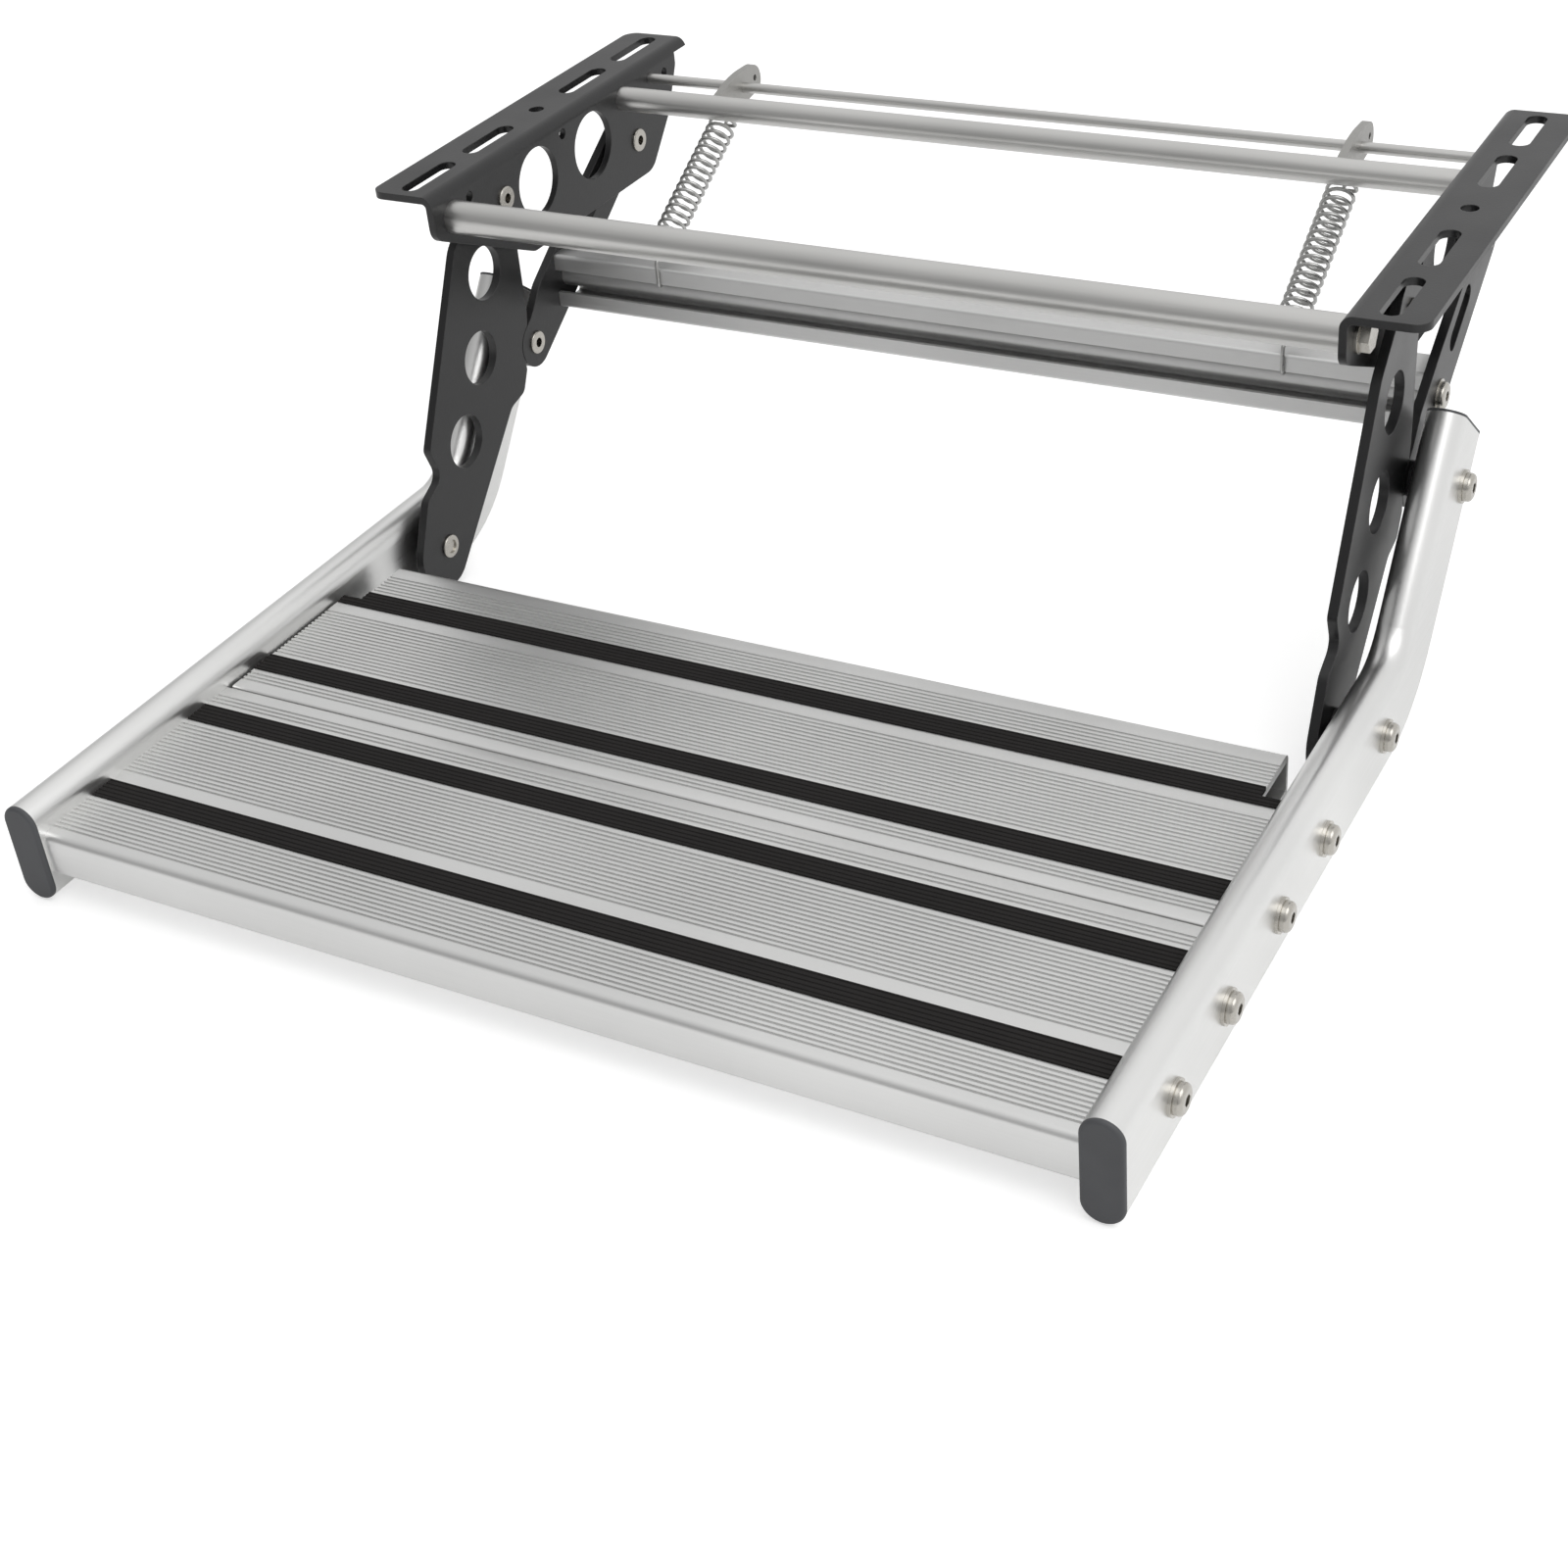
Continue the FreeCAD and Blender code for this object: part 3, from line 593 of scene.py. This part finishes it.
@dataclass
class TreadPlank:
    """Low hollow plank with a ribbed top, measured from its heel at the seam to its nose.

    Its half width is relief_x behind the relief for the folded links, which is relief_length
    long at the nose, and half_width in front of it.
    """

    name: str
    node: str
    heel_y: float
    towards: float
    depth: float
    nose_grooves: int
    half_width: float
    relief_x: float
    relief_length: float = 39.2 * MM
    height: float = 22.8 * MM
    top_z: float = -189.3 * MM
    wall: float = 2.2 * MM
    roof: float = 4.4 * MM
    nose_radius: float = 4.0 * MM
    nose_segments: int = 6
    foot_radius: float = 1.6 * MM
    heel_radius: float = 1.2 * MM
    edge_segments: int = 3
    groove_pitch: float = 3.0 * MM
    groove_width: float = 1.4 * MM
    groove_depth: float = 0.8 * MM
    heel_field: float = 8.0 * MM
    heel_grooves: int = 3
    middle_field: float = 36.5 * MM
    middle_grooves: int = 16
    nose_field: float = 109.2 * MM
    strip_starts: Pair = (18.65 * MM, 91.95 * MM)
    strip_width: float = 14.5 * MM
    strip_recess: float = 1.6 * MM
    bolt_at: Pair = (32.9 * MM, 93.9 * MM)
    bolt_z: float = -201.0 * MM
    bolt_radius: float = 4.0 * MM
    port_half: float = 6.6 * MM
    middle_web: float = 63.6 * MM

    def corner(self, along: float, z: float) -> Pair:
        """Place (y, z) of a point of the section, counted from the heel."""
        return (self.heel_y + self.towards * along, z)

    def notches(self) -> list[Triple]:
        """Grooves and strip recesses as (start, end, depth), from heel to nose."""
        cuts = [(start, start + self.strip_width, self.strip_recess) for start in self.strip_starts]
        fields = (
            (self.heel_field, self.heel_grooves),
            (self.middle_field, self.middle_grooves),
            (self.nose_field, self.nose_grooves),
        )
        for field_start, count in fields:
            for i in range(count):
                start = field_start + i * self.groove_pitch
                cuts.append((start, start + self.groove_width, self.groove_depth))
        return sorted(cuts)

    def section(self) -> Extrusion:
        """Draw the section with its chambers and bolt bores.

        Returns:
            The section, not yet drawn out.
        """
        section = Extrusion()
        foot_z = self.top_z - self.height
        points = [self.corner(0.0, self.top_z)]
        for start, end, deep in self.notches():
            floor_z = self.top_z - deep
            points += [self.corner(start, self.top_z), self.corner(start, floor_z)]
            points += [self.corner(end, floor_z), self.corner(end, self.top_z)]
        points += [self.corner(self.depth, self.top_z), self.corner(self.depth, foot_z)]
        points.append(self.corner(0.0, foot_z))
        section.outline(points)
        half_web = self.wall / 2
        chambers = (
            (self.wall, self.bolt_at[0] - self.port_half),
            (self.bolt_at[0] + self.port_half, self.middle_web - half_web),
            (self.middle_web + half_web, self.bolt_at[1] - self.port_half),
            (self.bolt_at[1] + self.port_half, self.depth - self.wall),
        )
        low, high = foot_z + self.wall, self.top_z - self.roof
        for start, end in chambers:
            around = ((start, low), (end, low), (end, high), (start, high))
            section.outline([self.corner(along, z) for along, z in around])
        for along in self.bolt_at:
            section.bore(self.corner(along, self.bolt_z), self.bolt_radius)
        return section

    def build(self) -> None:
        """Draw the plank out and put it in its node's place."""
        section = self.section()
        limit = self.corner(self.depth - self.relief_length, 0.0)[0]
        section.part_at(limit)
        section.draw(-self.relief_x, self.relief_x)
        if self.relief_x < self.half_width:
            for side in (-1.0, 1.0):
                section.widen(side * self.relief_x, side * (self.half_width - self.relief_x), limit)
        foot_z = self.top_z - self.height
        section.round_off(self.corner(self.depth, self.top_z), self.nose_radius, self.nose_segments)
        section.round_off(self.corner(self.depth, foot_z), self.foot_radius, self.edge_segments)
        section.round_off(self.corner(0.0, self.top_z), self.heel_radius, self.edge_segments)
        section.round_off(self.corner(0.0, foot_z), self.heel_radius, self.edge_segments)
        piece = section.finish(self.name, Finishes.tread)
        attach(piece, "step")
        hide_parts(self.node)


@dataclass
class SpringTab:
    """Plate welded on the rear tube, with holes for the rod, the spring's hook and a spare one.

    Corners and holes are given as (y, z, radius), the weld as angles in degrees.
    """

    side: str
    x: float
    plate: float = 4.5 * MM
    tube_at: Pair = (60.0 * MM, -12.5 * MM)
    tube_radius: float = 6.9 * MM
    weld_from: float = 60.0
    weld_to: float = -45.0
    weld_points: int = 8
    corner_segments: int = 5
    corners: tuple[Triple, ...] = (
        (81.0 * MM, -24.0 * MM, 4.0 * MM),
        (92.0 * MM, -20.0 * MM, 5.0 * MM),
        (112.5 * MM, -17.0 * MM, 6.0 * MM),
        (111.0 * MM, -1.5 * MM, 8.0 * MM),
        (83.0 * MM, -1.0 * MM, 9.0 * MM),
    )
    holes: tuple[Triple, ...] = (
        (92.0 * MM, -11.0 * MM, 3.0 * MM),
        (84.0 * MM, -18.0 * MM, 2.2 * MM),
        (105.0 * MM, -9.5 * MM, 1.8 * MM),
    )

    def weld(self) -> list[Pair]:
        """Points (y, z) of the hollow that lies against the tube."""
        points = []
        for i in range(self.weld_points):
            share = (self.weld_to - self.weld_from) * i / (self.weld_points - 1)
            angle = math.radians(self.weld_from + share)
            points.append((
                self.tube_at[0] + self.tube_radius * math.cos(angle),
                self.tube_at[1] + self.tube_radius * math.sin(angle),
            ))
        return points

    def build(self) -> None:
        """Cut the plate, round its corners and put it in its node's place."""
        plate = Extrusion()
        plate.outline(self.weld() + [(y, z) for y, z, _ in self.corners])
        for y, z, radius in self.holes:
            plate.bore((y, z), radius)
        plate.part_at(self.holes[0][0])
        plate.draw(self.x - self.plate / 2, self.x + self.plate / 2)
        for y, z, radius in self.corners:
            plate.round_off((y, z), radius, self.corner_segments)
        piece = plate.finish("tab_plate_" + self.side, Finishes.tab)
        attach(piece, "hanging_frame")
        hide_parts("spring_tab_" + self.side)


class WireBender:
    """Round wire drawn as a tube by straight runs, bends and coils."""

    sides: int = 10
    step_angle: float = math.radians(18.0)
    fewest_steps: int = 4

    def __init__(self, gauge: float, start: Vector, heading: Vector) -> None:
        """Clamp the wire's first end.

        Args:
            gauge: Diameter of the wire.
            start: Point where the wire begins.
            heading: Direction in which it leaves.
        """
        self.mesh = bmesh.new()
        self.place = start.copy()
        self.heading = heading.normalized()
        turn = self.heading.to_track_quat("Z", "Y").to_matrix().to_4x4()
        bmesh.ops.create_circle(
            self.mesh,
            cap_ends=False,
            segments=self.sides,
            radius=gauge / 2,
            matrix=Matrix.Translation(start) @ turn,
        )
        self.ring = list(self.mesh.verts) + list(self.mesh.edges)
        bmesh.ops.contextual_create(self.mesh, geom=list(self.mesh.edges))

    def ring_edges(self) -> list[bmesh.types.BMEdge]:
        """Edges of the ring at the wire's free end."""
        return [part for part in self.ring if isinstance(part, bmesh.types.BMEdge)]

    def straight(self, length: float) -> None:
        """Draw a straight run of the given length."""
        grown = bmesh.ops.extrude_edge_only(self.mesh, edges=self.ring_edges())["geom"]
        self.ring = [part for part in grown if not isinstance(part, bmesh.types.BMFace)]
        verts = [part for part in self.ring if isinstance(part, bmesh.types.BMVert)]
        bmesh.ops.translate(self.mesh, verts=verts, vec=self.heading * length)
        self.place += self.heading * length

    def turn(self, axis: Vector, radius: float, angle: float, rise: float = 0.0) -> None:
        """Bend the wire round an axis, or coil it where it rises along that axis.

        Args:
            axis: Direction of the axis.
            radius: Radius of the bend.
            angle: Angle of the bend in radians.
            rise: Way gone along the axis in all.
        """
        axis = axis.normalized()
        centre = self.place + axis.cross(self.heading) * radius
        steps = max(self.fewest_steps, round(abs(angle) / self.step_angle))
        made = bmesh.ops.spin(
            self.mesh,
            geom=self.ring,
            cent=centre,
            axis=axis,
            dvec=axis * (rise / steps),
            angle=angle,
            steps=steps,
            use_duplicate=False,
            use_merge=False,
            use_normal_flip=False,
        )
        last = made["geom_last"]
        self.ring = [part for part in last if not isinstance(part, bmesh.types.BMFace)]
        spun = Matrix.Rotation(angle, 3, axis)
        self.place = centre + spun @ (self.place - centre) + axis * rise
        self.heading = spun @ self.heading

    def finish(self, name: str, material: bpy.types.Material) -> bpy.types.Object:
        """Cap the last end and make the object.

        Args:
            name: Name of the object.
            material: Material of the wire.

        Returns:
            The wire's object.
        """
        bmesh.ops.contextual_create(self.mesh, geom=self.ring_edges())
        bmesh.ops.recalc_face_normals(self.mesh, faces=self.mesh.faces)
        piece = placed(self.mesh, name)
        piece.data.shade_smooth()
        piece.data.materials.append(material)
        return piece


@dataclass
class TensionSpring:
    """Wound spring between a tab on the frame and the lip of the cross member.

    The wire starts at the tail of the upper hook, runs through the tab's hole, steps back to
    the middle, winds the coil and ends behind the lip.
    """

    side: str
    x: float
    gauge: float = 2.1 * MM
    coil_radius: float = 7.6 * MM
    turns: float = 16.5
    tab_hole: Pair = (84.0 * MM, -18.0 * MM)
    knee: Pair = (-21.2 * MM, -75.5 * MM)
    knee_radius: float = 4.0 * MM
    tail: float = 4.0 * MM
    hook_radius: float = 4.2 * MM
    hook_run: float = 3.0 * MM
    small_radius: float = 1.6 * MM
    offset_radius: float = 4.0 * MM
    lead_in: float = 17.0 * MM
    lead_out: float = 12.0 * MM
    lip_drop: float = 12.6 * MM
    lip_radius: float = 2.5 * MM
    lip_run: float = 2.5 * MM

    def hook(self, bender: WireBender, across: Vector, along: Vector) -> None:
        """Bend the upper hook and step the wire back to the spring's middle line.

        Args:
            bender: Wire, clamped at the hook's tail.
            across: Direction of the hook's width.
            along: Direction of the spring.
        """
        axis = along.cross(across)
        bender.straight(self.tail)
        bender.turn(-axis, self.hook_radius, math.pi)
        bender.straight(self.hook_run)
        crook = math.acos(1.0 - self.hook_radius / (2.0 * self.offset_radius))
        bender.turn(-axis, self.offset_radius, crook)
        bender.turn(axis, self.offset_radius, crook)

    def coil(self, bender: WireBender, across: Vector, along: Vector, length: float) -> None:
        """Lead the wire out to the coil, wind it and lead back to the middle line.

        Args:
            bender: Wire, on the middle line.
            across: Direction in which the wire leads out.
            along: Direction of the spring.
            length: Length of the coil.
        """
        tangent = along.cross(across)
        reach = self.coil_radius - 2.0 * self.small_radius
        bender.turn(tangent, self.small_radius, math.pi / 2)
        bender.straight(reach)
        bender.turn(across.cross(tangent), self.small_radius, math.pi / 2)
        bender.turn(along, self.coil_radius, self.turns * math.tau, length)
        bender.turn(along, self.small_radius, math.pi / 2)
        bender.straight(reach)
        bender.turn(bender.heading.cross(along), self.small_radius, math.pi / 2)

    def foot(self, bender: WireBender, across: Vector, along: Vector, knee: Vector) -> None:
        """Bend the wire down at the knee and round under the lip.

        Args:
            bender: Wire, on the middle line behind the coil.
            across: Direction along the lip.
            along: Direction of the spring.
            knee: Point where the wire turns down.
        """
        down = Vector((0.0, 0.0, -1.0))
        lean = bender.heading.angle(down)
        knee_run = self.knee_radius * math.tan(lean / 2)
        bender.straight((knee - bender.place).dot(along) - knee_run)
        bender.turn(bender.heading.cross(down), self.knee_radius, lean)
        bender.straight(self.lip_drop - knee_run)
        bender.turn(across, self.lip_radius, math.pi)
        bender.straight(self.lip_run)

    def build(self) -> None:
        """Wind the spring and hide the CAD spring in its place."""
        top = Vector((self.x, *self.tab_hole))
        knee = Vector((self.x, *self.knee))
        across = Vector((1.0, 0.0, 0.0))
        along = (knee - top).normalized()
        length = (knee - top).length
        start = top - across * self.hook_radius + along * (self.hook_radius + self.tail)
        bender = WireBender(self.gauge, start, -along)
        self.hook(bender, across, along)
        coil_from = top + along * self.lead_in
        bender.straight((coil_from - bender.place).dot(along) - self.small_radius)
        self.coil(bender, across, along, length - self.lead_in - self.lead_out)
        self.foot(bender, across, along, knee)
        piece = bender.finish("wound_spring_" + self.side, Finishes.wire)
        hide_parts("spring_" + self.side)
        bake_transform(piece)


@dataclass
class Studio:
    """White floor, bright walls, one soft lamp and the camera."""

    floor_z: float = -228.6 * MM
    floor_size: float = 6.0
    floor_colour: tuple[float, ...] = (0.82, 0.82, 0.82, 1.0)
    glow_seen: float = 0.5
    glow_in_metal: float = 0.18
    bright_side: Triple = (0.5, 0.45, 0.5)
    side_band: Pair = (-0.4, 0.5)
    wall_light: Pair = (0.336, 0.88)
    lamp_place: Triple = (0.9, -0.6, 1.5)
    lamp_aim: Triple = (0.0, -0.2, -0.12)
    lamp_size: float = 1.4
    lamp_power: float = 9.0
    camera_place: Triple = (0.5538, -1.1342, 0.4699)
    camera_azimuth: float = 32.01
    camera_tilt: float = 34.51
    camera_roll: float = -6.07
    camera_reach: float = 30.0
    focal_pixels: float = 2498.8
    frame_pixels: float = 1600.0
    shift: Pair = (0.0034, 0.0019)

    def floor(self) -> None:
        """Lay the white floor, which keeps the shadow and glows where it is seen."""
        mesh = bmesh.new()
        bmesh.ops.create_grid(
            mesh,
            x_segments=1,
            y_segments=1,
            size=self.floor_size,
            matrix=Matrix.Translation((0.0, 0.0, self.floor_z)),
        )
        piece = placed(mesh, "floor")
        board = NodeBoard(bpy.data.materials.new("white floor"))
        path = board.add("LightPath")
        paper = board.add("BsdfDiffuse", Color=self.floor_colour)
        glow = board.add("Emission", Color=WHITE)
        both = board.add("AddShader")
        mix = board.add("MixShader")
        seen = board.add("Math", operation="MAXIMUM")
        output = board.add("OutputMaterial")
        by_camera = path.outputs["Is Camera Ray"]
        level = board.ranged(by_camera, (0.0, 1.0), (self.glow_in_metal, self.glow_seen))
        board.join(level, glow.inputs["Strength"])
        board.join(by_camera, seen.inputs[0])
        board.join(path.outputs["Is Glossy Ray"], seen.inputs[1])
        board.join(paper.outputs["BSDF"], both.inputs[0])
        board.join(glow.outputs["Emission"], both.inputs[1])
        board.join(seen.outputs["Value"], mix.inputs["Fac"])
        board.join(paper.outputs["BSDF"], mix.inputs[1])
        board.join(both.outputs["Shader"], mix.inputs[2])
        board.join(mix.outputs["Shader"], output.inputs["Surface"])
        piece.data.materials.append(board.owner)

    def world(self) -> None:
        """Surround the step with walls that are brighter on the right, above and behind.

        The camera itself sees them white.
        """
        world = bpy.data.worlds.new("studio")
        bpy.context.scene.world = world
        board = NodeBoard(world)
        place = board.add("TexCoord")
        side = board.add("VectorMath", operation="DOT_PRODUCT")
        path = board.add("LightPath")
        seen = board.add("Math", operation="MAXIMUM")
        light = board.add("Background", Color=WHITE)
        output = board.add("OutputWorld")
        side.inputs[1].default_value = self.bright_side
        board.join(place.outputs["Generated"], side.inputs[0])
        level = board.ranged(side.outputs["Value"], self.side_band, self.wall_light)
        board.join(level, seen.inputs[0])
        board.join(path.outputs["Is Camera Ray"], seen.inputs[1])
        board.join(seen.outputs["Value"], light.inputs["Strength"])
        board.join(light.outputs["Background"], output.inputs["Surface"])

    def lamp(self) -> None:
        """Hang a square lamp that faces the step."""
        data = bpy.data.lights.new("key", "AREA")
        data.size = self.lamp_size
        data.energy = self.lamp_power
        lamp = bpy.data.objects.new("key", data)
        lamp.location = self.lamp_place
        aim = Vector(self.lamp_aim) - Vector(self.lamp_place)
        lamp.rotation_euler = aim.to_track_quat("-Z", "Y").to_euler()
        bpy.context.scene.collection.objects.link(lamp)

    def camera(self) -> None:
        """Set the camera where the photograph was taken from."""
        data = bpy.data.cameras.new("camera")
        data.lens = data.sensor_width * self.focal_pixels / self.frame_pixels
        data.shift_x, data.shift_y = self.shift
        data.clip_end = self.camera_reach
        piece = bpy.data.objects.new("camera", data)
        turn = (
            Matrix.Rotation(math.radians(self.camera_azimuth), 4, "Z")
            @ Matrix.Rotation(math.radians(90.0 - self.camera_tilt), 4, "X")
            @ Matrix.Rotation(math.radians(self.camera_roll), 4, "Z")
        )
        piece.matrix_world = Matrix.Translation(self.camera_place) @ turn
        bpy.context.scene.collection.objects.link(piece)
        bpy.context.scene.camera = piece

    def build(self) -> None:
        """Set up the studio."""
        self.floor()
        self.world()
        self.lamp()
        self.camera()
        bpy.context.scene.view_settings.view_transform = "Standard"


def main() -> None:
    """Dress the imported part, add what it lacks and set up the studio."""
    HangingFrame().build()
    Linkage().build()
    TreadStep().build()
    TreadPlank(
        name="front_plank",
        node="tread_front",
        heel_y=-346.1 * MM,
        towards=-1.0,
        depth=142.7 * MM,
        nose_grooves=9,
        half_width=270.5 * MM,
        relief_x=270.5 * MM,
    ).build()
    TreadPlank(
        name="rear_plank",
        node="tread_rear",
        heel_y=-345.2 * MM,
        towards=1.0,
        depth=137.6 * MM,
        nose_grooves=6,
        half_width=269.0 * MM,
        relief_x=257.5 * MM,
    ).build()
    for side, x in (("right", 187.0 * MM), ("left", -187.0 * MM)):
        SpringTab(side=side, x=x).build()
        TensionSpring(side=side, x=x).build()
    Studio().build()


if __name__ == "__main__":
    main()
